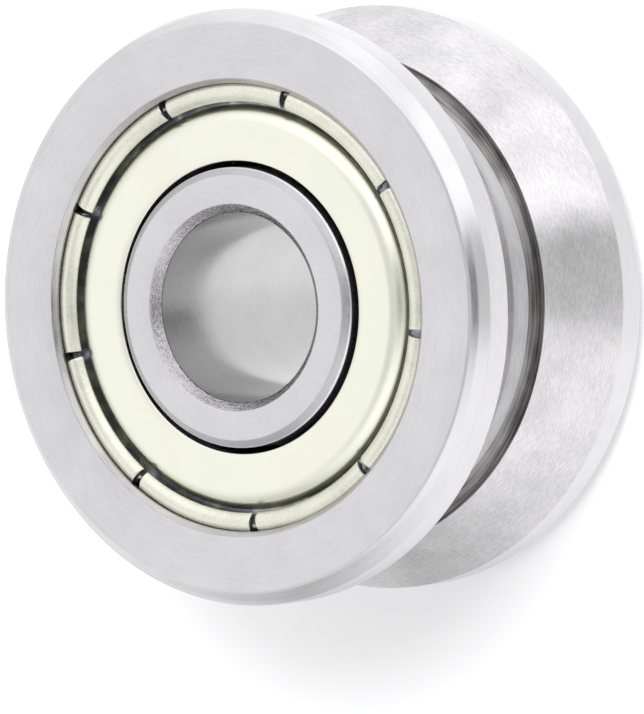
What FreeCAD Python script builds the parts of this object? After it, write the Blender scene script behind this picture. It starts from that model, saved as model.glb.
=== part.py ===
import FreeCAD, Part

import math
import os

# V groove guide wheel for a 7 mm axle, lying on its rear face. It is a double row ball bearing whose
# outer ring is the wheel. The origin is the middle of the bore, +Z is the axle and points out of the front.
# All lengths are millimetres and all angles degrees.

# Wheel body
wheel_diameter = 22.0
wheel_width = 11.0
rim_corner_radial = 0.52
rim_corner_axial = 0.56
rim_facet_radial = 0.30
rim_facet_axial = 0.20

# V groove with a square relief slot at its root
groove_angle = 120.0
groove_root_diameter = 18.76
relief_width = 2.00
relief_depth = 0.70

# Inner ring
bore_diameter = 7.0
bore_chamfer = 0.32
inner_corner_radial = 0.30
inner_corner_axial = 0.18

# Balls and raceways
ball_diameter = 3.175
balls_per_row = 9
pitch_diameter = 12.25
row_spacing = 4.30
raceway_relief = 0.064
raceway_clearance = 0.012
raceway_depth = 0.645

# Snap cages
cage_clearance = 0.34
cage_web = 0.45
pocket_clearance = 0.06
horn_reach = 0.75
horn_notch_width = 0.42
horn_notch_depth = 0.80

# Shields, pressed from sheet, with a slit and curled rim
shield_sheet = 0.25
shield_gap = 0.20
shield_recess = 0.28
shield_lip_bend = 1.30
shield_lip_turn = 14.0
shield_drop = 0.52
shield_drop_bend = 0.65
shield_foot_bend = 0.20
shield_drop_turn = 65.0
curl_radius = 0.30
curl_turn = 250.0
channel_width = 0.16
slit_count = 9
slit_width = 0.14
slit_mouth_width = 0.38
first_slit_angle = -5.0

# Shield seats in the outer ring
seat_diameter = 16.48
seat_mouth_chamfer = 0.17
lip_height = 0.14
undercut_rise = 0.16
undercut_clearance = 0.04
rim_snap = 0.125

# Derived sizes
outer_radius = wheel_diameter / 2
half_width = wheel_width / 2
bore_radius = bore_diameter / 2
ball_radius = ball_diameter / 2
pitch_radius = pitch_diameter / 2
row_height = row_spacing / 2
raceway_radius = ball_radius + raceway_relief
inner_raceway_bottom = pitch_radius - ball_radius - raceway_clearance
outer_raceway_bottom = pitch_radius + ball_radius + raceway_clearance
inner_shoulder_radius = inner_raceway_bottom + raceway_depth
outer_shoulder_radius = outer_raceway_bottom - raceway_depth
groove_root_radius = groove_root_diameter / 2
seat_radius = seat_diameter / 2
seat_depth = shield_recess + shield_sheet + shield_drop
curl_outer_radius = seat_radius + rim_snap
curl_centre_radius = curl_outer_radius - curl_radius - shield_sheet / 2
curl_edge_radius = curl_centre_radius - curl_radius - shield_sheet / 2
channel_wall_radius = curl_edge_radius - channel_width
ball_pitch_angle = 360.0 / balls_per_row

axis_point = FreeCAD.Vector(0, 0, 0)
axis_direction = FreeCAD.Vector(0, 0, 1)


def section_point(radius, height):
    return FreeCAD.Vector(radius, 0, height)


def revolved(outline):
    """Solid of revolution about the axle from a closed outline of (radius, height) points."""
    points = [section_point(radius, height) for radius, height in outline]
    wire = Part.makePolygon(points + [points[0]])
    return Part.Face(wire).revolve(axis_point, axis_direction, 360)


def mirrored_profile(half):
    """The points given from the front face to the middle, then their mirror image down to the rear."""
    return half + [(radius, -height) for radius, height in reversed(half)]


def ring_torus(centre_radius, height, tube_radius):
    """Full torus about the axle, the cutter for one raceway."""
    centre = FreeCAD.Vector(0, 0, height)
    return Part.makeTorus(centre_radius, tube_radius, centre, axis_direction)


def make_outer_ring():
    """The wheel: V groove outside, two raceways with a rib between them and two shield seats inside."""
    flank_height = outer_radius - groove_root_radius
    mouth_height = relief_width / 2 + flank_height * math.tan(math.radians(groove_angle / 2))
    outside = [
        (outer_radius - rim_corner_radial, half_width),
        (outer_radius - rim_corner_radial + rim_facet_radial, half_width - rim_facet_axial),
        (outer_radius, half_width - rim_corner_axial),
        (outer_radius, mouth_height),
        (groove_root_radius, relief_width / 2),
        (groove_root_radius - relief_depth, relief_width / 2),
    ]
    undercut_radius = curl_outer_radius + undercut_clearance
    lip_end = seat_mouth_chamfer + lip_height
    inside = [
        (seat_radius + seat_mouth_chamfer, half_width),
        (seat_radius, half_width - seat_mouth_chamfer),
        (seat_radius, half_width - lip_end),
        (undercut_radius, half_width - lip_end - undercut_rise),
        (undercut_radius, half_width - seat_depth),
        (outer_shoulder_radius, half_width - seat_depth),
    ]
    outline = mirrored_profile(outside) + list(reversed(mirrored_profile(inside)))
    ring = revolved(outline)
    for height in (row_height, -row_height):
        ring = ring.cut(ring_torus(outer_raceway_bottom - raceway_radius, height, raceway_radius))
    return ring


def make_inner_ring():
    """Bored for the axle, with a raceway for each row of balls and broken corners."""
    outside = [
        (inner_shoulder_radius - inner_corner_radial, half_width),
        (inner_shoulder_radius, half_width - inner_corner_axial),
    ]
    inside = [
        (bore_radius + bore_chamfer, half_width),
        (bore_radius, half_width - bore_chamfer),
    ]
    outline = mirrored_profile(outside) + list(reversed(mirrored_profile(inside)))
    ring = revolved(outline)
    for height in (row_height, -row_height):
        ring = ring.cut(ring_torus(inner_raceway_bottom + raceway_radius, height, raceway_radius))
    return ring


def sheet_section(start_radius, start_height, start_heading, steps, thickness):
    """Closed face of a sheet that follows straight runs and bends, starting outwards from the axle.

    Each step is ("run", length) or ("bend", centreline radius, turn), where a positive turn goes up.
    """
    radius = start_radius
    height = start_height
    heading = start_heading
    upper_edges = []
    lower_edges = []

    def offset_point(side):
        angle = math.radians(heading)
        return section_point(radius - side * math.sin(angle), height + side * math.cos(angle))

    for step in steps:
        starts = [offset_point(thickness / 2), offset_point(-thickness / 2)]
        if step[0] == "run":
            radius += step[1] * math.cos(math.radians(heading))
            height += step[1] * math.sin(math.radians(heading))
            ends = [offset_point(thickness / 2), offset_point(-thickness / 2)]
            upper_edges.append(Part.LineSegment(starts[0], ends[0]).toShape())
            lower_edges.append(Part.LineSegment(starts[1], ends[1]).toShape())
            continue
        bend_radius, turn = step[1], step[2]
        side = math.copysign(bend_radius, turn)
        centre = offset_point(side)
        middles = []
        for _ in range(2):
            heading += turn / 2
            angle = math.radians(heading)
            radius = centre.x + side * math.sin(angle)
            height = centre.z - side * math.cos(angle)
            middles.append([offset_point(thickness / 2), offset_point(-thickness / 2)])
        upper_edges.append(Part.Arc(starts[0], middles[0][0], middles[1][0]).toShape())
        lower_edges.append(Part.Arc(starts[1], middles[0][1], middles[1][1]).toShape())
    start_cap = Part.LineSegment(lower_edges[0].Vertexes[0].Point, upper_edges[0].Vertexes[0].Point)
    end_cap = Part.LineSegment(offset_point(thickness / 2), offset_point(-thickness / 2))
    edges = [start_cap.toShape()] + upper_edges + [end_cap.toShape()] + lower_edges
    return Part.Face(Part.Wire(Part.sortEdges(edges)[0]))


def make_slit(start_radius, floor_height):
    """Cutter for one slit of the rim, which opens from the channel to the outer edge."""
    end_radius = curl_outer_radius + slit_width
    corners = [
        (start_radius, -slit_width / 2),
        (end_radius, -slit_mouth_width / 2),
        (end_radius, slit_mouth_width / 2),
        (start_radius, slit_width / 2),
    ]
    points = [FreeCAD.Vector(x, y, floor_height) for x, y in corners]
    face = Part.Face(Part.makePolygon(points + [points[0]]))
    return face.extrude(FreeCAD.Vector(0, 0, half_width - floor_height))


def make_front_shield():
    """Annulus with a rolled lip that drops to a foot on its seat, then curls over into a slit rim."""
    lip_angle = math.radians(shield_lip_turn)
    drop_angle = math.radians(shield_drop_turn)
    lip_radius = inner_shoulder_radius + shield_gap + shield_sheet / 2 * math.sin(lip_angle)
    flat_start = lip_radius + shield_lip_bend * math.sin(lip_angle)
    flat_height = half_width - shield_recess - shield_sheet / 2
    lip_height_inside = flat_height - shield_lip_bend * (1 - math.cos(lip_angle))
    foot_height = half_width - seat_depth + shield_sheet / 2
    both_bends = shield_drop_bend + shield_foot_bend
    slope_length = (shield_drop - both_bends * (1 - math.cos(drop_angle))) / math.sin(drop_angle)
    foot_start = channel_wall_radius + shield_foot_bend - shield_sheet / 2
    flat_end = foot_start - both_bends * math.sin(drop_angle) - slope_length * math.cos(drop_angle)
    steps = [
        ("bend", shield_lip_bend, -shield_lip_turn),
        ("run", flat_end - flat_start),
        ("bend", shield_drop_bend, -shield_drop_turn),
        ("run", slope_length),
        ("bend", shield_foot_bend, shield_drop_turn),
        ("run", curl_centre_radius - foot_start),
        ("bend", curl_radius, curl_turn),
    ]
    shield = sheet_section(lip_radius, lip_height_inside, shield_lip_turn, steps, shield_sheet)
    shield = shield.revolve(axis_point, axis_direction, 360)
    slit = make_slit(channel_wall_radius + channel_width / 2, foot_height + shield_sheet / 2)
    slits = []
    for index in range(slit_count):
        copy = slit.copy()
        copy.rotate(axis_point, axis_direction, first_slit_angle + index * 360.0 / slit_count)
        slits.append(copy)
    return shield.cut(slits)


def make_front_cage():
    """Moulded snap cage: a ring behind the balls, with horns that reach round each of them."""
    inner_radius = inner_shoulder_radius + cage_clearance
    outer_cage_radius = outer_shoulder_radius - cage_clearance
    pocket_radius = ball_radius + pocket_clearance
    back = row_height + pocket_radius + cage_web
    tip = row_height - horn_reach
    cage = revolved([(inner_radius, tip), (outer_cage_radius, tip), (outer_cage_radius, back),
                     (inner_radius, back)])
    notch_corner = FreeCAD.Vector(inner_radius - cage_web, -horn_notch_width / 2, tip - cage_web)
    notch = Part.makeBox(outer_cage_radius - inner_radius + 2 * cage_web, horn_notch_width,
                         horn_notch_depth + cage_web, notch_corner)
    cutters = []
    for index in range(balls_per_row):
        angle = index * ball_pitch_angle
        pocket = Part.makeSphere(pocket_radius, FreeCAD.Vector(pitch_radius, 0, row_height))
        pocket.rotate(axis_point, axis_direction, angle)
        between = notch.copy()
        between.rotate(axis_point, axis_direction, angle + ball_pitch_angle / 2)
        cutters += [pocket, between]
    return cage.cut(cutters)


def make_ball(index, height):
    """One ball of a row, the first on the X axis."""
    ball = Part.makeSphere(ball_radius, FreeCAD.Vector(pitch_radius, 0, height))
    ball.rotate(axis_point, axis_direction, index * ball_pitch_angle)
    return ball


def turned_over(shape):
    """The same piece fitted from the rear, turned half round about the X axis."""
    copy = shape.copy()
    copy.rotate(axis_point, FreeCAD.Vector(1, 0, 0), 180)
    return copy


def build():
    front_shield = make_front_shield()
    front_cage = make_front_cage()
    parts = {
        "outer_ring": make_outer_ring(),
        "inner_ring": make_inner_ring(),
        "front_shield": front_shield,
        "rear_shield": turned_over(front_shield),
        "front_cage": front_cage,
        "rear_cage": turned_over(front_cage),
    }
    for index in range(balls_per_row):
        parts[f"front_ball_{index + 1}"] = make_ball(index, row_height)
        parts[f"rear_ball_{index + 1}"] = make_ball(index, -row_height)
    return parts


os.makedirs("parts", exist_ok=True)
for name, shape in build().items():
    shape.exportStep(f"parts/{name}.step")
    print(name, shape.ShapeType, len(shape.Solids), shape.isValid(), round(shape.Volume, 3))
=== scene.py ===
# %% [markdown]
# # A V groove guide wheel, pressed shields and all
#
# The object is a small steel wheel that rolls along a rail with its V groove. It is also a ball
# bearing: the wheel itself is the outer ring, a plain ring is clamped on the axle, and two rows of
# balls run between them. A pressed and plated shield closes each side.
#
# This first cell loads the imported solids as a fixed frame. Their box is kept, and gives the floor's
# height, the wheel's radius and its half width.

# %% Load the frame
import math

import bmesh
import bpy
from mathutils import Matrix, Vector


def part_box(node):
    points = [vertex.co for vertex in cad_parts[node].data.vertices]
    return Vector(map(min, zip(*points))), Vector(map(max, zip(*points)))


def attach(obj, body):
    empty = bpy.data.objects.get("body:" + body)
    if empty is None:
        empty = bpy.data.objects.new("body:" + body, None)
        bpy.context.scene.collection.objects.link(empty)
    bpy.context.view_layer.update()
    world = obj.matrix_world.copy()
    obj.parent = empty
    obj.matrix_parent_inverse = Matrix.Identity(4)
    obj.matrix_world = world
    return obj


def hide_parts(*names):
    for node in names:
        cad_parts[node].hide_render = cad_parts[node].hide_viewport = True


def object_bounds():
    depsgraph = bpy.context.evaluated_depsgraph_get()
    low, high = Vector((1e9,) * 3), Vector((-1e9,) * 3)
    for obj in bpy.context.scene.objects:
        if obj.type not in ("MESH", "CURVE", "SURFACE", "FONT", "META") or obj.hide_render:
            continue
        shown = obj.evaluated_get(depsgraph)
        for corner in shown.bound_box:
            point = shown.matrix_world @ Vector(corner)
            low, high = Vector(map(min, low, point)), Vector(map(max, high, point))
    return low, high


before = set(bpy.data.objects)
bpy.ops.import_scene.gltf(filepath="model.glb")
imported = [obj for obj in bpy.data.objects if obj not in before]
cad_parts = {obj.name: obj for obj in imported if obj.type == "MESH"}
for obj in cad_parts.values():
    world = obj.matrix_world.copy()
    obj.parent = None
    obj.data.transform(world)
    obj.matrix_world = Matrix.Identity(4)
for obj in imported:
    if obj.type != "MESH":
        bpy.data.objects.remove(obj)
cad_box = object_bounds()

scene = bpy.context.scene
MM = 0.001

# %% [markdown]
# ## The camera
#
# A product shot of something this small is taken with a long lens from about a foot away, which is
# why the front and rear rims look almost equally large. The wheel lies on its rear face, so the same
# view is had by looking down on it: the axle leans away from the line of sight by `axle_lean`.
# Building the camera's three axes by hand keeps the picture upright along the wheel's own +Y.

# %% Camera
axle_lean = math.radians(35.53)
view_side = math.radians(5.99)
camera_distance = 279.5 * MM
aim_right = 0.07 * MM
aim_down = 2.075 * MM
lens_length = 378.0

towards_camera = Vector((
    math.sin(axle_lean) * math.cos(view_side),
    math.sin(axle_lean) * math.sin(view_side),
    math.cos(axle_lean),
))
picture_right = Vector((0, 1, 0)).cross(towards_camera).normalized()
picture_up = towards_camera.cross(picture_right)

camera_data = bpy.data.cameras.new("Camera")
camera_data.lens = lens_length
camera_data.sensor_width = 36.0
camera_data.clip_start = 10 * MM
camera = bpy.data.objects.new("Camera", camera_data)
camera.matrix_world = Matrix((picture_right, picture_up, towards_camera)).transposed().to_4x4()
camera.location = towards_camera * camera_distance + picture_right * aim_right - picture_up * aim_down
scene.collection.objects.link(camera)
scene.camera = camera
print("camera at", [round(value / MM, 1) for value in camera.location], "mm")

# %% [markdown]
# ## A helper for node trees
#
# Every finish below is a small graph of nodes. One helper adds a node, sets its options and fills its
# inputs: a socket is joined with a link, and anything else is written into the input as a value.

# %% Node helper
def add_node(tree, kind, inputs=None, **options):
    """Adds one node. Inputs are given by name or number, each as a socket to join or a value."""
    node = tree.nodes.new(kind)
    for name, value in options.items():
        setattr(node, name, value)
    for name, value in (inputs or {}).items():
        if isinstance(value, bpy.types.NodeSocket):
            tree.links.new(value, node.inputs[name])
        else:
            node.inputs[name].default_value = value
    return node


def add_ramp(tree, factor, stops):
    """A colour ramp whose stops are (position, grey or colour)."""
    ramp = add_node(tree, "ShaderNodeValToRGB", {"Fac": factor})
    elements = ramp.color_ramp.elements
    while len(elements) < len(stops):
        elements.new(1.0)
    for element, (position, colour) in zip(elements, stops):
        element.position = position
        shade = (colour, colour, colour) if isinstance(colour, float) else colour
        element.color = (*shade, 1.0)
    return ramp.outputs["Color"]


# %% [markdown]
# ## The studio
#
# Bare metal has hardly any colour of its own: it shows the room. Its pale faces and dark bands are
# the reflections of a white tent with a few openings in it. So the room is drawn first, as a world
# whose brightness depends on the compass direction, once for the walls near the table and once for
# the panels above them. Seen from the wheel there is a dark opening on the right, which is widest
# overhead where the camera looks in, bright panels on the upper right and a dim stretch below. The
# brightest panel is a light, so the bearings hold shares of its brightness. One row of lights gives
# way to the next between two heights, which are the Z of a direction: -1 is straight down.

# %% World
brightest_panel = 1.5
low_walls = [
    (-180, 0.68), (-150, 0.76), (-128, 0.56), (-112, 0.42), (-93, 0.57), (-72, 0.76),
    (-50, 0.85), (-19, 0.85), (-11, 0.72), (-5, 0.55), (5, 0.50), (20, 0.50),
    (26, 0.72), (31, 1.00), (64, 1.00), (70, 0.88), (79, 0.88), (85, 0.98), (101, 0.94),
    (107, 0.84), (128, 0.82), (155, 0.66), (180, 0.68),
]
high_panels = [
    (-180, 0.76), (-150, 0.76), (-120, 0.60), (-99, 0.75), (-81, 0.84), (-61, 0.90),
    (-40, 0.82), (-24, 0.72), (-15, 0.50), (-8, 0.18), (14, 0.18), (22, 0.36),
    (28, 0.62), (33, 1.00), (68, 1.00), (78, 0.85), (97, 0.82), (106, 1.00), (120, 0.98),
    (134, 0.80), (160, 0.76),
]
table_round = [
    (-180, 0.70), (-166, 0.45), (-126, 0.62), (-96, 0.84), (-66, 0.92), (-26, 0.92),
    (-6, 0.84), (14, 0.80), (54, 0.80), (94, 0.88), (150, 1.00), (180, 0.70),
]
tent_top = 0.50
table_to_walls = (-0.66, -0.42)
walls_to_panels = (0.52, 0.76)
panels_to_top = (0.88, 0.96)


def bearing_ramp(tree, share, stops):
    """Light by compass direction, where share runs from 0 at -180 degrees to 1 at 180."""
    return add_ramp(tree, share, [((angle + 180) / 360, light) for angle, light in stops])


def blend_upwards(tree, height, span, below, above):
    """Goes softly from one light to the other between the two heights of the span."""
    share = add_node(tree, "ShaderNodeMapRange",
                     {"Value": height, "From Min": span[0], "From Max": span[1]},
                     interpolation_type="SMOOTHSTEP")
    mix = add_node(tree, "ShaderNodeMix", {"Factor": share.outputs[0], 6: below, 7: above},
                   data_type="RGBA")
    return mix.outputs[2]


def make_world():
    world = bpy.data.worlds.new("White tent")
    world.use_nodes = True
    tree = world.node_tree
    tree.nodes.clear()
    direction = add_node(tree, "ShaderNodeTexCoord").outputs["Generated"]
    axes = add_node(tree, "ShaderNodeSeparateXYZ", {0: direction})
    bearing = add_node(tree, "ShaderNodeMath", {0: axes.outputs["Y"], 1: axes.outputs["X"]},
                       operation="ARCTAN2")
    share = add_node(tree, "ShaderNodeMapRange",
                     {"Value": bearing.outputs[0], "From Min": -math.pi, "From Max": math.pi})
    low = bearing_ramp(tree, share.outputs[0], low_walls)
    high = bearing_ramp(tree, share.outputs[0], high_panels)
    table = bearing_ramp(tree, share.outputs[0], table_round)
    height = axes.outputs["Z"]
    light = blend_upwards(tree, height, table_to_walls, table, low)
    light = blend_upwards(tree, height, walls_to_panels, light, high)
    light = blend_upwards(tree, height, panels_to_top, light, (tent_top, tent_top, tent_top, 1))
    scaled = add_node(tree, "ShaderNodeVectorMath", {0: light, "Scale": brightest_panel},
                      operation="SCALE")
    seen = add_node(tree, "ShaderNodeLightPath").outputs["Is Camera Ray"]
    colour = add_node(tree, "ShaderNodeMix",
                      {"Factor": seen, 6: scaled.outputs[0], 7: (1, 1, 1, 1)}, data_type="RGBA")
    background = add_node(tree, "ShaderNodeBackground", {"Color": colour.outputs[2], "Strength": 1.0})
    add_node(tree, "ShaderNodeOutputWorld", {"Surface": background.outputs[0]})
    return world


scene.world = make_world()
scene.view_settings.view_transform = "Standard"
print("bearings:", len(low_walls), "low", len(high_panels), "high", len(table_round), "below")

# %% [markdown]
# ## The floor and its shadow
#
# The wheel lies on a white sheet. Part of the sheet's whiteness is its own glow towards the camera, so
# that the background is white, and the rest is light that falls on it, which the wheel holds back as
# a soft shadow. A broad lamp high behind the wheel gives that shadow its direction. The metal doesn't
# see the lamp or the sheet, only the tent, which is white below too.

# %% Floor and lamp
floor_white = (0.86, 0.86, 0.87, 1)
floor_glow = 0.10
floor_reach = 900 * MM
lamp_size = 260 * MM
lamp_distance = 420 * MM
lamp_direction = Vector((0.28, 0.48, 0.83)).normalized()
lamp_watts = 1.0


def make_floor_material():
    material = bpy.data.materials.new("White sheet")
    material.use_nodes = True
    tree = material.node_tree
    tree.nodes.clear()
    matt = add_node(tree, "ShaderNodeBsdfDiffuse", {"Color": floor_white})
    seen = add_node(tree, "ShaderNodeLightPath").outputs["Is Camera Ray"]
    strength = add_node(tree, "ShaderNodeMath", {0: seen, 1: floor_glow}, operation="MULTIPLY")
    glow = add_node(tree, "ShaderNodeEmission", {"Strength": strength.outputs[0]})
    both = add_node(tree, "ShaderNodeAddShader", {0: matt.outputs[0], 1: glow.outputs[0]})
    add_node(tree, "ShaderNodeOutputMaterial", {"Surface": both.outputs[0]})
    return material


def make_floor():
    bm = bmesh.new()
    below = Matrix.Translation((0, 0, cad_box[0].z))
    bmesh.ops.create_grid(bm, x_segments=2, y_segments=2, size=floor_reach, matrix=below)
    mesh = bpy.data.meshes.new("floor")
    bm.to_mesh(mesh)
    bm.free()
    mesh.materials.append(make_floor_material())
    floor = bpy.data.objects.new("floor", mesh)
    floor.visible_glossy = False
    scene.collection.objects.link(floor)
    return floor


def make_lamp():
    lamp_data = bpy.data.lights.new("Softbox", "AREA")
    lamp_data.shape = "DISK"
    lamp_data.size = lamp_size
    lamp_data.energy = lamp_watts
    lamp = bpy.data.objects.new("Softbox", lamp_data)
    lamp.location = lamp_direction * lamp_distance
    lamp.rotation_euler = lamp_direction.to_track_quat("Z", "Y").to_euler()
    lamp.visible_glossy = False
    scene.collection.objects.link(lamp)
    return lamp


floor = make_floor()
lamp = make_lamp()
print(floor.name, "at", round(cad_box[0].z / MM, 2), "mm,", lamp.name, lamp_watts, "W")

# %% [markdown]
# ## Marks that run round the axle
#
# Everything on this wheel was turned or ground while it spun, so its scratches run round the axle.
# A noise texture becomes such scratches when its space is stretched: it changes slowly along the
# circle and quickly across it. The unit vector from the axle is the slow part, which has no seam
# where the circle closes, and height and radius are the quick part. Radius goes into the fourth
# dimension of the noise, so faces, cylinders and cones all get lines from the same few nodes.
# Most of a noise texture's values lie between `noise_low` and `noise_high`.

# %% Turning marks
wheel_radius = cad_box[1].x
noise_low = 0.3
noise_high = 0.7


def lathe_noise(tree, dash, pitch, detail=2.0, roughness=0.6):
    """Noise in dashes of about that length round the axle, with lines of that pitch, in metres."""
    place = add_node(tree, "ShaderNodeTexCoord").outputs["Object"]
    level = add_node(tree, "ShaderNodeVectorMath", {0: place, 1: (1, 1, 0)}, operation="MULTIPLY")
    radius = add_node(tree, "ShaderNodeVectorMath", {0: level.outputs[0]}, operation="LENGTH")
    heading = add_node(tree, "ShaderNodeVectorMath", {0: level.outputs[0]}, operation="NORMALIZE")
    around = add_node(tree, "ShaderNodeVectorMath",
                      {0: heading.outputs[0], "Scale": wheel_radius / dash}, operation="SCALE")
    upright = add_node(tree, "ShaderNodeVectorMath", {0: place, 1: (0, 0, 1 / pitch)},
                       operation="MULTIPLY")
    point = add_node(tree, "ShaderNodeVectorMath", {0: around.outputs[0], 1: upright.outputs[0]},
                     operation="ADD")
    outward = add_node(tree, "ShaderNodeMath", {0: radius.outputs["Value"], 1: 1 / pitch},
                       operation="MULTIPLY")
    noise = add_node(tree, "ShaderNodeTexNoise",
                     {"Vector": point.outputs[0], "W": outward.outputs[0], "Scale": 1.0,
                      "Detail": detail, "Roughness": roughness}, noise_dimensions="4D")
    return noise.outputs["Fac"]


def plain_noise(tree, size, detail=2.0):
    """Cloudy noise whose blotches are about that size, in metres."""
    place = add_node(tree, "ShaderNodeTexCoord").outputs["Object"]
    noise = add_node(tree, "ShaderNodeTexNoise",
                     {"Vector": place, "Scale": 1 / size, "Detail": detail})
    return noise.outputs["Fac"]


def vary_roughness(tree, pattern, rough):
    """Roughness that follows a pattern from the lowest to the highest of rough."""
    gloss = add_node(tree, "ShaderNodeMapRange",
                     {"Value": pattern, "From Min": noise_low, "From Max": noise_high,
                      "To Min": rough[0], "To Max": rough[1]})
    tree.links.new(gloss.outputs[0], tree.nodes["Principled BSDF"].inputs["Roughness"])


def circle_tangent(tree):
    """The direction round the axle, which the grooves of a turned surface follow."""
    place = add_node(tree, "ShaderNodeTexCoord").outputs["Object"]
    across = add_node(tree, "ShaderNodeVectorMath", {0: (0, 0, 1), 1: place}, operation="CROSS_PRODUCT")
    turned = add_node(tree, "ShaderNodeVectorTransform", {0: across.outputs[0]},
                      vector_type="VECTOR", convert_from="OBJECT", convert_to="WORLD")
    return turned.outputs[0]


# %% [markdown]
# ## Bearing steel, cut in many ways
#
# The rings are hardened bearing steel. The faces and lands are ground to a fine satin and the rim
# corner a little finer. The flanks of the groove show short dashes from the wheel that ground them,
# the walls of the relief slot were only turned and keep darker rings, and the raceways are honed and
# dimmed by a film of oil. All are the same metal, so one function makes them from a few numbers: how
# light, how rough, how deep the marks are and how strongly they pull the reflections out across the
# grooves. Slow clouds and a fine speckle are the same for all.

# %% Steel
cloud_size = 1.6 * MM
cloud_share = 0.35
speckle_size = 0.07 * MM


def make_steel(name, dark, light, rough, dash, pitch, mark_depth, pull=0.0, grain=0.0, contrast=0.35):
    """Steel between two tints. Rough is (lowest, highest), the marks are in metres."""
    material = bpy.data.materials.new(name)
    material.use_nodes = True
    tree = material.node_tree
    shader = tree.nodes["Principled BSDF"]
    marks = lathe_noise(tree, dash, pitch)
    clouds = plain_noise(tree, cloud_size)
    speckle = plain_noise(tree, speckle_size, detail=1.0)
    blend = add_node(tree, "ShaderNodeMix", {"Factor": cloud_share, 2: marks, 3: clouds})
    tint = add_ramp(tree, blend.outputs[0], [(0.5 - contrast / 2, dark), (0.5 + contrast / 2, light)])
    tree.links.new(tint, shader.inputs["Base Color"])
    vary_roughness(tree, marks, rough)
    height = add_node(tree, "ShaderNodeMix", {"Factor": grain, 2: marks, 3: speckle})
    bump = add_node(tree, "ShaderNodeBump", {"Height": height.outputs[0], "Distance": mark_depth})
    tree.links.new(bump.outputs[0], shader.inputs["Normal"])
    tree.links.new(circle_tangent(tree), shader.inputs["Tangent"])
    shader.inputs["Metallic"].default_value = 1.0
    shader.inputs["Anisotropic"].default_value = pull
    shader.inputs["Anisotropic Rotation"].default_value = 0.25
    return material


ground_face = make_steel("Ground face", (0.580, 0.571, 0.594), (0.668, 0.659, 0.683), (0.26, 0.34),
                         0.50 * MM, 0.06 * MM, 0.0022 * MM, grain=0.6)
ground_rim = make_steel("Ground rim", (0.635, 0.632, 0.645), (0.700, 0.697, 0.710), (0.16, 0.24),
                        0.60 * MM, 0.04 * MM, 0.0015 * MM, pull=0.3, grain=0.4)
ground_flank = make_steel("Ground flank", (0.533, 0.525, 0.535), (0.694, 0.683, 0.695), (0.12, 0.26),
                          0.26 * MM, 0.035 * MM, 0.005 * MM, pull=0.65, grain=0.2, contrast=0.20)
turned_wall = make_steel("Turned slot wall", (0.105, 0.098, 0.100), (0.350, 0.335, 0.330), (0.24, 0.36),
                         3.00 * MM, 0.09 * MM, 0.010 * MM, pull=0.5, contrast=0.24)
turned_floor = make_steel("Turned slot floor", (0.420, 0.418, 0.430), (0.630, 0.627, 0.640), (0.45, 0.60),
                          0.60 * MM, 0.06 * MM, 0.008 * MM, grain=0.4, contrast=0.34)
seat_steel = make_steel("Shield seat", (0.400, 0.390, 0.388), (0.570, 0.558, 0.550), (0.20, 0.34),
                        0.80 * MM, 0.05 * MM, 0.006 * MM, grain=0.5)
honed_bore = make_steel("Honed bore", (0.440, 0.437, 0.438), (0.510, 0.506, 0.505), (0.14, 0.22),
                        0.50 * MM, 0.04 * MM, 0.0015 * MM, pull=0.2, grain=0.3)
broken_corner = make_steel("Broken corner", (0.425, 0.425, 0.450), (0.530, 0.530, 0.560), (0.28, 0.38),
                           0.40 * MM, 0.05 * MM, 0.014 * MM, grain=0.5)
worn_edge = make_steel("Worn edge", (0.640, 0.640, 0.660), (0.780, 0.780, 0.800), (0.14, 0.24),
                       0.30 * MM, 0.05 * MM, 0.003 * MM, grain=0.4)
tumbled_edge = make_steel("Tumbled edge", (0.300, 0.290, 0.315), (0.600, 0.590, 0.610), (0.14, 0.34),
                          0.45 * MM, 0.05 * MM, 0.040 * MM, grain=0.30, contrast=0.30)
raceway_steel = make_steel("Raceway", (0.420, 0.418, 0.415), (0.500, 0.498, 0.495), (0.16, 0.24),
                           2.00 * MM, 0.04 * MM, 0.0004 * MM, pull=0.3)
print("steel finishes from", ground_face.name, "to", raceway_steel.name)

# %% [markdown]
# ## Zinc plate
#
# The shields are pressed from thin sheet, zinc plated and dipped in a yellow passivate. The dip is
# thin enough to be pale: cream with a breath of green. It gathers a little in places, which slow
# noise gives, and the press leaves fine marks round the axle. Curling the rim wrinkles its skin into
# tiny ribs across the bead, so the bead is greyer and grainier than the flat. Down inside the curl the
# narrow channel lies in shade, and that shade is painted into the bead's plate as a dark, ragged line.
# The cut walls of the slits are bare, and their dark tint is partly painted shade of the slits.

# %% Plated sheet
# Painted shade: below these heights the bead's plate is drawn dark, in place of the shade in the curl's
# channel.
shade_begin_height = 4.75 * MM
shade_full_height = 4.69 * MM
shade_edge_wander = 0.03 * MM
channel_shade_tint = (0.25, 0.28, 0.32, 1)


def paint_channel_shade(tree, tint, clouds):
    """Paints shade into a tint where the sheet goes down inside the curl, in a line that wanders."""
    place = add_node(tree, "ShaderNodeTexCoord").outputs["Object"]
    axes = add_node(tree, "ShaderNodeSeparateXYZ", {0: place})
    height = add_node(tree, "ShaderNodeMath", {0: axes.outputs["Z"]}, operation="ABSOLUTE")
    wander = add_node(tree, "ShaderNodeMapRange",
                      {"Value": clouds, "From Min": noise_low, "From Max": noise_high,
                       "To Min": -shade_edge_wander, "To Max": shade_edge_wander})
    level = add_node(tree, "ShaderNodeMath", {0: height.outputs[0], 1: wander.outputs[0]},
                     operation="ADD")
    depth = add_node(tree, "ShaderNodeMapRange",
                     {"Value": level.outputs[0], "From Min": shade_begin_height,
                      "From Max": shade_full_height}, interpolation_type="SMOOTHSTEP")
    darker = add_node(tree, "ShaderNodeMix",
                      {"Factor": depth.outputs[0], 6: tint, 7: channel_shade_tint}, data_type="RGBA")
    return darker.outputs[2]


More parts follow.
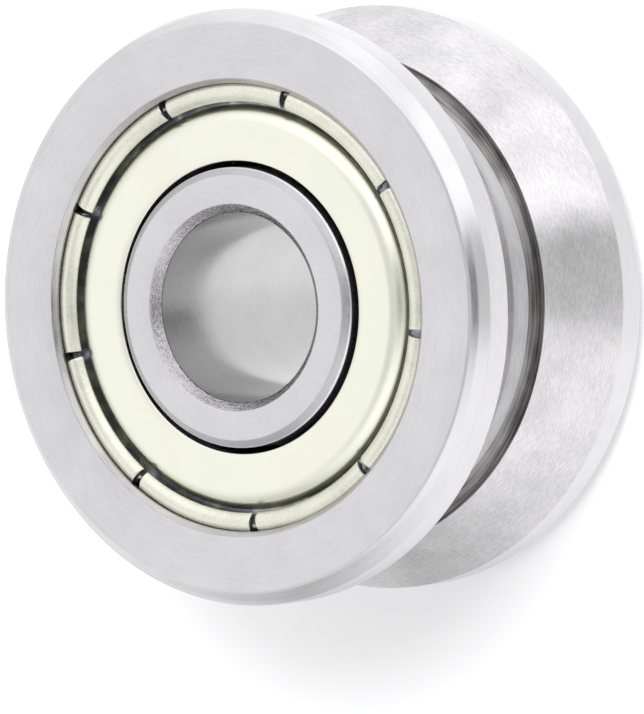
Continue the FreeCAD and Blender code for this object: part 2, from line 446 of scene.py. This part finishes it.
def make_zinc_plate(name, tints, rough, on_bead=False):
    """Plate in three tints. On the bead it is ribbed, and gets painted shade down in the channel."""
    material = bpy.data.materials.new(name)
    material.use_nodes = True
    tree = material.node_tree
    shader = tree.nodes["Principled BSDF"]
    if on_bead:
        clouds = plain_noise(tree, 0.80 * MM, detail=4.0)
        marks = lathe_noise(tree, 0.10 * MM, 0.50 * MM)
        speckle_share = 0.45
        relief_depth = 0.014 * MM
    else:
        clouds = plain_noise(tree, 2.4 * MM, detail=4.0)
        marks = lathe_noise(tree, 1.2 * MM, 0.07 * MM)
        speckle_share = 0.15
        relief_depth = 0.002 * MM
    speckle = plain_noise(tree, 0.09 * MM, detail=1.0)
    blotches = add_node(tree, "ShaderNodeMix", {"Factor": speckle_share, 2: clouds, 3: speckle})
    tint = add_ramp(tree, blotches.outputs[0], list(zip((0.35, 0.50, 0.65), tints)))
    # On the bead the plate gets painted shade down in the channel.
    if on_bead:
        tint = paint_channel_shade(tree, tint, clouds)
    tree.links.new(tint, shader.inputs["Base Color"])
    vary_roughness(tree, clouds, rough)
    relief = add_node(tree, "ShaderNodeMix", {"Factor": 0.6, 2: marks, 3: speckle})
    bump = add_node(tree, "ShaderNodeBump", {"Height": relief.outputs[0], "Distance": relief_depth})
    tree.links.new(bump.outputs[0], shader.inputs["Normal"])
    shader.inputs["Metallic"].default_value = 1.0
    return material


plate_tints = [(0.800, 0.820, 0.715), (0.825, 0.838, 0.735), (0.835, 0.830, 0.720)]
bead_tints = [(0.685, 0.665, 0.575), (0.750, 0.750, 0.655), (0.795, 0.805, 0.715)]
# The bare cut walls are drawn darker than bare steel: partly the cut steel, partly painted shade of the
# slits.
bare_and_shade_tints = [(0.250, 0.245, 0.280), (0.300, 0.295, 0.325), (0.360, 0.350, 0.370)]
zinc_plate = make_zinc_plate("Zinc plate", plate_tints, (0.26, 0.34))
zinc_bead = make_zinc_plate("Zinc on the bead", bead_tints, (0.28, 0.40), on_bead=True)
bare_cut_and_shade = make_zinc_plate("Bare cut", bare_and_shade_tints, (0.30, 0.45))
print("plates:", zinc_plate.name, zinc_bead.name, bare_cut_and_shade.name)

# %% [markdown]
# ## Drawing a section and spinning it
#
# A turned part is its section swept round the axle. The section is drawn as a lathe hand would read
# it off a drawing: begin at one corner, run to the next, and turn an arc where the drawing has one.
# Each run extrudes the last vertex and each arc spins it about the arc's centre. Sharp corners are
# then broken with a small bevel, because no real edge is perfectly sharp, and it is the broken edge
# that catches the light. Last, the whole wire is spun once round the axle. Faces are later sorted
# by their place, and a `hair` is the play that this sorting leaves.

# %% Section tools
merge_reach = 0.0001 * MM
hair = 0.01 * MM


def begin_section(radius, height):
    """A new bmesh with the section's first corner, in the plane of X and Z."""
    bm = bmesh.new()
    bm.verts.new((radius, 0, height))
    return bm


def run_to(bm, radius, height):
    """Extrudes the end of the section in a straight run, and returns the new corner."""
    bm.verts.ensure_lookup_table()
    corner = bmesh.ops.extrude_vert_indiv(bm, verts=[bm.verts[-1]])["verts"][0]
    corner.co = (radius, 0, height)
    return corner


def turn_about(bm, radius, height, degrees, steps):
    """Spins the end of the section about a centre. Positive turns are anticlockwise, +X to +Z."""
    bm.verts.ensure_lookup_table()
    bmesh.ops.spin(bm, geom=[bm.verts[-1]], cent=(radius, 0, height), axis=(0, -1, 0),
                   angle=math.radians(degrees), steps=steps)


def break_corners(bm, corners, size, segments):
    """Rounds corners of the wire before it is spun."""
    bmesh.ops.bevel(bm, geom=corners, offset=size, offset_type="OFFSET", affect="VERTICES",
                    segments=segments, profile=0.5, material=-1)


def spin_section(bm, steps):
    """Spins the wire once round the axle and merges the seam."""
    bmesh.ops.spin(bm, geom=bm.verts[:] + bm.edges[:], cent=(0, 0, 0), axis=(0, 0, 1),
                   angle=2 * math.pi, steps=steps, use_merge=True)
    bmesh.ops.remove_doubles(bm, verts=bm.verts[:], dist=merge_reach)


def mirror_rear(bm):
    """Adds the rear half, joins the two at the middle and turns every face outwards."""
    bmesh.ops.mirror(bm, geom=bm.verts[:] + bm.edges[:] + bm.faces[:], axis="Z",
                     merge_dist=merge_reach)
    bmesh.ops.recalc_face_normals(bm, faces=bm.faces[:])


def sort_finishes(bm, finishes, finish_at):
    """Gives each face the finish that finish_at names for its radius and height."""
    for face in bm.faces:
        centre = face.calc_center_median()
        face.material_index = finishes.index(finish_at(centre.xy.length, abs(centre.z)))


def finish_piece(bm, name, materials, body, slot, *nodes):
    """Makes the object, shades it smoothly, hangs it on its body and hides the solids it replaces."""
    mesh = bpy.data.meshes.new(name)
    for face in bm.faces:
        face.smooth = True
    bm.to_mesh(mesh)
    bm.free()
    for material in materials:
        mesh.materials.append(material)
    piece = bpy.data.objects.new(name, mesh)
    scene.collection.objects.link(piece)
    weighted = piece.modifiers.new("Weighted normals", "WEIGHTED_NORMAL")
    weighted.keep_sharp = True
    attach(piece, body)
    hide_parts(*nodes)
    print(name, "faces", len(mesh.polygons))


# %% [markdown]
# ## The wheel
#
# The outer ring is the wheel. Its section starts in the middle of the relief slot, climbs the flank
# of the V, crosses the land, goes over the rim corner in two soft facets, and comes back down the
# inside past the shield's seat, the shoulder and one raceway. The rear half is its mirror image.
# The faces are then given their finishes by where they lie.

# %% Outer ring
half_width = cad_box[1].z
turned_steps = 360
slot_half = 1.00 * MM
groove_root = 9.38 * MM
slot_floor = 8.68 * MM
flank_slope = math.tan(math.radians(60))
land_start = slot_half + (wheel_radius - groove_root) * flank_slope
facet_outer = Vector((wheel_radius, half_width - 0.56 * MM))
facet_middle = Vector((wheel_radius - 0.22 * MM, half_width - 0.20 * MM))
face_edge = wheel_radius - 0.52 * MM
seat_radius = 8.24 * MM
seat_mouth = 0.17 * MM
seat_lip = 0.31 * MM
undercut_radius = 8.405 * MM
undercut_height = half_width - 0.47 * MM
seat_height = half_width - 1.05 * MM
row_height = 2.15 * MM
raceway_arc = 1.6515 * MM
raceway_reach = 1.3094 * MM
raceway_turn = math.degrees(2 * math.asin(raceway_reach / raceway_arc))
raceway_steps = 14
outer_shoulder = 7.0795 * MM
outer_raceway_bottom = 7.7245 * MM
rim_rounding = 0.09 * MM
groove_rounding = 0.035 * MM
seat_rounding = 0.025 * MM
outer_finishes = [ground_face, ground_rim, ground_flank, turned_wall, turned_floor, seat_steel, raceway_steel]


def outer_finish(radius, height):
    """The finish of the wheel at that place."""
    if radius < slot_floor - hair:
        if height > seat_height - hair:
            return seat_steel
        on_raceway = radius > outer_shoulder + hair and height < row_height + raceway_reach
        return raceway_steel if on_raceway else ground_face
    if height < slot_half + 2 * hair and radius < groove_root:
        return turned_floor if radius < slot_floor + hair else turned_wall
    if height < land_start and radius < wheel_radius - hair:
        return ground_flank
    on_corner = height > facet_outer.y and radius > face_edge
    return ground_rim if on_corner else ground_face


def make_outer_ring():
    bm = begin_section(slot_floor, 0)
    run_to(bm, slot_floor, slot_half)
    root_edge = run_to(bm, groove_root, slot_half)
    mouth_edge = run_to(bm, wheel_radius, land_start)
    rim_edges = [
        run_to(bm, facet_outer.x, facet_outer.y),
        run_to(bm, facet_middle.x, facet_middle.y),
        run_to(bm, face_edge, half_width),
    ]
    seat_edges = [
        run_to(bm, seat_radius + seat_mouth, half_width),
        run_to(bm, seat_radius, half_width - seat_mouth),
        run_to(bm, seat_radius, half_width - seat_lip),
        run_to(bm, undercut_radius, undercut_height),
        run_to(bm, undercut_radius, seat_height),
        run_to(bm, outer_shoulder, seat_height),
    ]
    run_to(bm, outer_shoulder, row_height + raceway_reach)
    turn_about(bm, outer_raceway_bottom - raceway_arc, row_height, -raceway_turn, raceway_steps)
    run_to(bm, outer_shoulder, 0)
    break_corners(bm, rim_edges, rim_rounding, 4)
    break_corners(bm, [mouth_edge, root_edge], groove_rounding, 3)
    break_corners(bm, seat_edges, seat_rounding, 2)
    spin_section(bm, turned_steps)
    mirror_rear(bm)
    sort_finishes(bm, outer_finishes, outer_finish)
    finish_piece(bm, "wheel_ring", outer_finishes, "wheel", "ground_steel", "outer_ring")


make_outer_ring()

# %% [markdown]
# ## The inner ring
#
# It is clamped on the axle, so its faces stand level with the wheel's and its bore is the finest
# surface of all. The bore's mouth is a tumbled chamfer, which is rough and glitters, and the outer
# corner is broken too, with an edge worn bright.

# %% Inner ring
bore_radius = 3.50 * MM
bore_chamfer = 0.32 * MM
inner_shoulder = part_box("inner_ring")[1].x
inner_corner_radial = 0.30 * MM
inner_corner_axial = 0.18 * MM
shoulder_wear = 0.06 * MM
inner_raceway_bottom = 4.5255 * MM
bore_rounding = 0.035 * MM
inner_finishes = [ground_face, honed_bore, tumbled_edge, broken_corner, raceway_steel, worn_edge]


def inner_finish(radius, height):
    """The finish of the inner ring at that place."""
    if radius < bore_radius + hair and height < half_width - bore_chamfer:
        return honed_bore
    if radius < bore_radius + bore_chamfer and height < half_width - hair:
        return tumbled_edge
    corner_start = half_width - inner_corner_axial
    if radius > inner_shoulder - shoulder_wear and height > corner_start - shoulder_wear:
        return worn_edge
    if radius > inner_shoulder - inner_corner_radial and height > corner_start:
        return broken_corner
    on_raceway = height < row_height + raceway_reach and radius < inner_shoulder - hair
    return raceway_steel if on_raceway else ground_face


def make_inner_ring():
    bm = begin_section(inner_shoulder, 0)
    run_to(bm, inner_shoulder, row_height - raceway_reach)
    turn_about(bm, inner_raceway_bottom + raceway_arc, row_height, -raceway_turn, raceway_steps)
    worn_corner = run_to(bm, inner_shoulder, half_width - inner_corner_axial)
    edges = [
        run_to(bm, inner_shoulder - inner_corner_radial, half_width),
        run_to(bm, bore_radius + bore_chamfer, half_width),
        run_to(bm, bore_radius, half_width - bore_chamfer),
    ]
    run_to(bm, bore_radius, 0)
    break_corners(bm, edges, bore_rounding, 3)
    break_corners(bm, [worn_corner], shoulder_wear, 4)
    spin_section(bm, turned_steps)
    mirror_rear(bm)
    sort_finishes(bm, inner_finishes, inner_finish)
    finish_piece(bm, "axle_ring", inner_finishes, "root", "ground_steel", "inner_ring")


make_inner_ring()

# %% [markdown]
# ## The pressed shields
#
# A shield starts as a flat washer. The press rolls its inner edge down a little, drops its rim in a
# soft step on to a foot and curls the edge up and over into a bead, which is slit in nine places so
# that it can give as it snaps into the groove of its seat. It is made in the same order here. The
# underside of the sheet is drawn as a wire and spun into a surface, the faces of each slit are
# deleted, the slit's two walls are sheared apart so that it opens outwards, and only then does the
# sheet get its thickness, which closes the walls. Bevels round off the cut edges, those of the slits
# most of all, because tumbling wears down the corners of the lugs.

# %% Shield sizes
sheet = 0.25 * MM
shield_inner = inner_shoulder + 0.20 * MM
shield_top = half_width - 0.28 * MM
flat_middle = shield_top - sheet / 2
foot_middle = seat_height + sheet / 2
lip_bend = 1.30 * MM
lip_turn = math.radians(14)
drop_bend = 0.65 * MM
foot_bend = 0.20 * MM
drop_turn = math.radians(65)
foot_start = 7.48 * MM
bead_middle = 7.94 * MM
bead_radius = 0.30 * MM + sheet / 2
bead_turn = 250
slit_count = 9
slit_start = 7.435 * MM
slit_end = 8.505 * MM
slit_half = 0.07 * MM
slit_mouth_half = 0.19 * MM
first_slit = -5
columns_per_slit = 48
lug_rounding = 0.095 * MM
lip_rounding = 0.05 * MM
sharp_turn = math.radians(55)
shield_finishes = [zinc_plate, zinc_bead, bare_cut_and_shade]

lip_edge = shield_inner + sheet / 2 * math.sin(lip_turn)
flat_start = lip_edge + lip_bend * math.sin(lip_turn)
both_bends = drop_bend + foot_bend
slope = (flat_middle - foot_middle - both_bends * (1 - math.cos(drop_turn))) / math.sin(drop_turn)
flat_end = foot_start - both_bends * math.sin(drop_turn) - slope * math.cos(drop_turn)
print("flat from", round(flat_start / MM, 2), "to", round(flat_end / MM, 2), "slope", round(slope / MM, 3))


# %% Shield
def draw_shield_surface():
    """The underside of the sheet as a surface of revolution, with its normals downwards."""
    lip_inside = lip_bend - sheet / 2
    bm = begin_section(flat_start - lip_inside * math.sin(lip_turn),
                       flat_middle - lip_bend + lip_inside * math.cos(lip_turn))
    turn_about(bm, flat_start, flat_middle - lip_bend, -math.degrees(lip_turn), 6)
    run_to(bm, flat_end, flat_middle - sheet / 2)
    turn_about(bm, flat_end, flat_middle - drop_bend, -math.degrees(drop_turn), 12)
    foot_outside = foot_bend + sheet / 2
    run_to(bm, foot_start - foot_outside * math.sin(drop_turn),
           foot_middle + foot_bend - foot_outside * math.cos(drop_turn))
    turn_about(bm, foot_start, foot_middle + foot_bend, math.degrees(drop_turn), 6)
    run_to(bm, bead_middle, seat_height)
    turn_about(bm, bead_middle, seat_height + bead_radius, bead_turn, 24)
    spin_section(bm, slit_count * columns_per_slit)
    lowest = min(bm.faces, key=lambda face: face.calc_center_median().xy.length)
    if lowest.normal.z > 0:
        bmesh.ops.reverse_faces(bm, faces=bm.faces[:])
    return bm


def cut_slit(bm, degrees):
    """Opens one slit through the bead and shears its walls into a V."""
    turned = Matrix.Rotation(math.radians(degrees), 4, "Z")
    upright = turned.inverted()
    column = 2 * math.pi / (slit_count * columns_per_slit)
    doomed = []
    for face in bm.faces:
        place = upright @ face.calc_center_median()
        on_bead = place.x > bead_middle or (place.x > slit_start and place.z > seat_height + sheet)
        if on_bead and abs(place.y) < place.x * math.tan(column):
            doomed.append(face)
    bmesh.ops.delete(bm, geom=doomed, context="FACES")
    spread = (slit_mouth_half - slit_half) / (slit_end - slit_start)
    for side in (1, -1):
        wall = []
        for vert in bm.verts:
            place = upright @ vert.co
            on_bead = place.x > bead_middle + hair or place.z > seat_height + sheet
            on_wall = abs(place.y - side * place.x * math.tan(column)) < 0.005 * MM
            if on_bead and place.x > slit_start and on_wall:
                wall.append(vert)
        shear = Matrix.Identity(4)
        shear[1][0] = side * (spread - math.tan(column))
        shear[1][3] = side * (slit_half - slit_start * spread)
        bmesh.ops.transform(bm, matrix=turned @ shear @ upright, verts=wall)


def shield_finish(face):
    """The finish of a face: bare cut, darkened with painted shade, where it looks round the axle, else plate
    or the bead's plate.
    """
    centre = face.calc_center_median()
    along = Vector((-centre.y, centre.x, 0)).normalized()
    radius = centre.xy.length
    if radius > slit_start and abs(face.normal.dot(along)) > 0.7:
        return bare_cut_and_shade
    return zinc_bead if radius > foot_start - foot_bend / 2 else zinc_plate


def make_shield(name, node, rear):
    bm = draw_shield_surface()
    for index in range(slit_count):
        cut_slit(bm, first_slit + index * 360 / slit_count)
    bmesh.ops.solidify(bm, geom=bm.faces[:], thickness=sheet)
    sharp = [edge for edge in bm.edges if edge.calc_face_angle(0) > sharp_turn]
    on_lugs = [edge for edge in sharp if edge.verts[0].co.xy.length > slit_start - 2 * hair]
    on_lip = [edge for edge in sharp if edge.verts[0].co.xy.length < flat_start]
    for edges, size in ((on_lugs, lug_rounding), (on_lip, lip_rounding)):
        bmesh.ops.bevel(bm, geom=edges, offset=size, offset_type="OFFSET", affect="EDGES",
                        segments=3, profile=0.5, material=-1, clamp_overlap=True)
    if rear:
        over = Matrix.Rotation(math.pi, 3, "X")
        bmesh.ops.rotate(bm, verts=bm.verts[:], cent=(0, 0, 0), matrix=over)
    bmesh.ops.recalc_face_normals(bm, faces=bm.faces[:])
    for face in bm.faces:
        face.material_index = shield_finishes.index(shield_finish(face))
    finish_piece(bm, name, shield_finishes, "wheel", "plated_sheet", node)


make_shield("front_plate", "front_shield", rear=False)
make_shield("rear_plate", "rear_shield", rear=True)

# %% [markdown]
# ## Cages and balls
#
# Behind the shields, out of the light, two moulded cages keep the balls apart. Their solids already
# have the right shape, so they stay and only get their finish: dark nylon with the fine grain of the
# mould, and steel polished nearly like a mirror.

# %% Carried-over pieces
def make_nylon():
    material = bpy.data.materials.new("Cage nylon")
    material.use_nodes = True
    tree = material.node_tree
    shader = tree.nodes["Principled BSDF"]
    grain = plain_noise(tree, 0.12 * MM, detail=4.0)
    tints = [(noise_low, (0.046, 0.040, 0.072)), (noise_high, (0.074, 0.066, 0.108))]
    tint = add_ramp(tree, grain, tints)
    tree.links.new(tint, shader.inputs["Base Color"])
    bump = add_node(tree, "ShaderNodeBump", {"Height": grain, "Distance": 0.004 * MM})
    tree.links.new(bump.outputs[0], shader.inputs["Normal"])
    shader.inputs["Roughness"].default_value = 0.5
    return material


cage_nylon = make_nylon()
ball_steel = make_steel("Polished ball", (0.520, 0.520, 0.520), (0.600, 0.600, 0.605), (0.05, 0.09),
                        0.60 * MM, 0.20 * MM, 0.0002 * MM)
for name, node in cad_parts.items():
    if "cage" in name or "ball" in name:
        for material_slot in node.material_slots:
            material_slot.material = cage_nylon if "cage" in name else ball_steel
print("carried over:", sum("cage" in name or "ball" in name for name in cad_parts))
